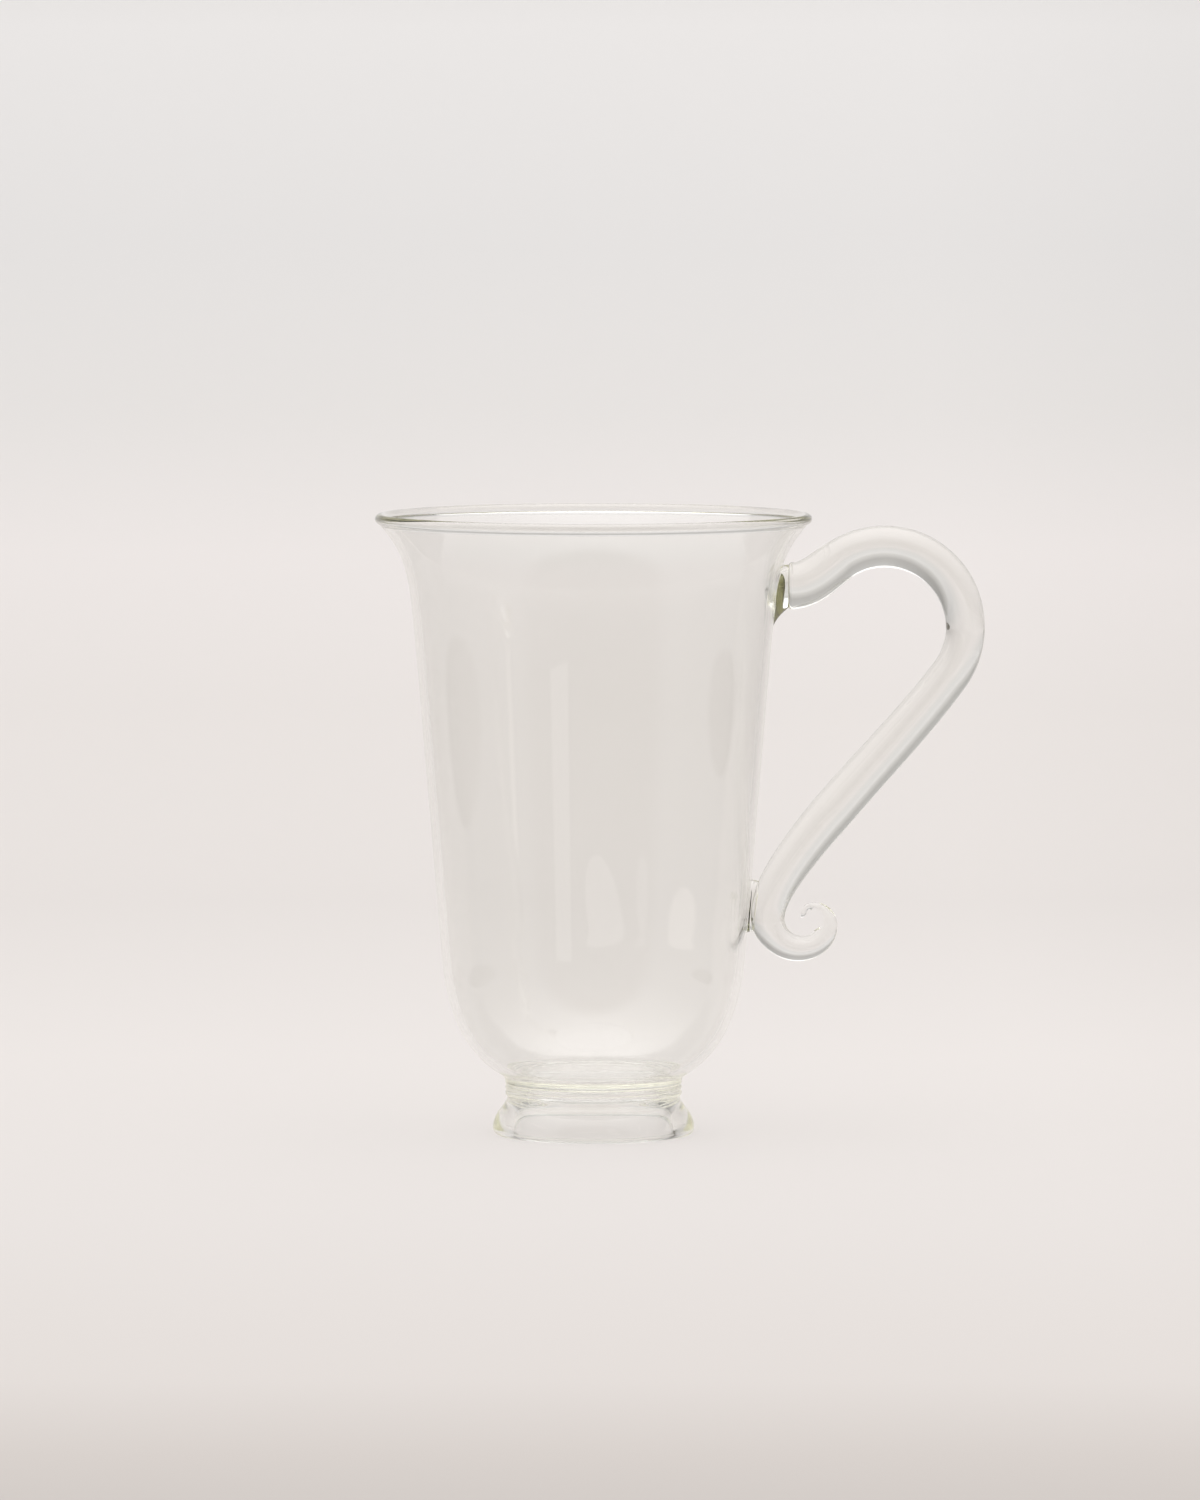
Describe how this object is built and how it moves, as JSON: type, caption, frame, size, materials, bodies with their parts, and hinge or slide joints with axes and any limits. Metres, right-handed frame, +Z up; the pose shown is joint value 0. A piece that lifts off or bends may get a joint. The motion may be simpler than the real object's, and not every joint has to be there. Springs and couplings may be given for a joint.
{
  "type": "glass mug",
  "caption": "Clear footed glass mug with a bell-shaped bowl, a flared mouth, a tooled neck ring and a crook handle that ends in a scroll.",
  "frame": {"origin": "middle of the circle that the foot rests on, on the bowl's own axis", "axes": "+Z up along the bowl's axis to the rim, +X from the axis to the handle, +Y square to the plane of the handle"},
  "size_m": [0.1273, 0.0912, 0.13],
  "materials": {
    "bowl": "fire-polished, clear",
    "neck_ring": "tooled, clear with a faint grey-green tint through its thickness",
    "foot": "fire-polished, clear with a faint grey-green tint through its thickness",
    "handle": "fire-polished solid rod, clear",
    "upper_weld": "fire-polished, grey-green where the eye looks along the wall",
    "lower_weld": "fire-polished, grey-green where the eye looks along the wall"
  },
  "bodies": {
    "root": {"bowl": "bowl", "neck_ring": "neck_ring", "foot": "foot", "handle": "handle", "upper_weld": "upper_weld", "lower_weld": "lower_weld"}
  },
  "joints": []
}
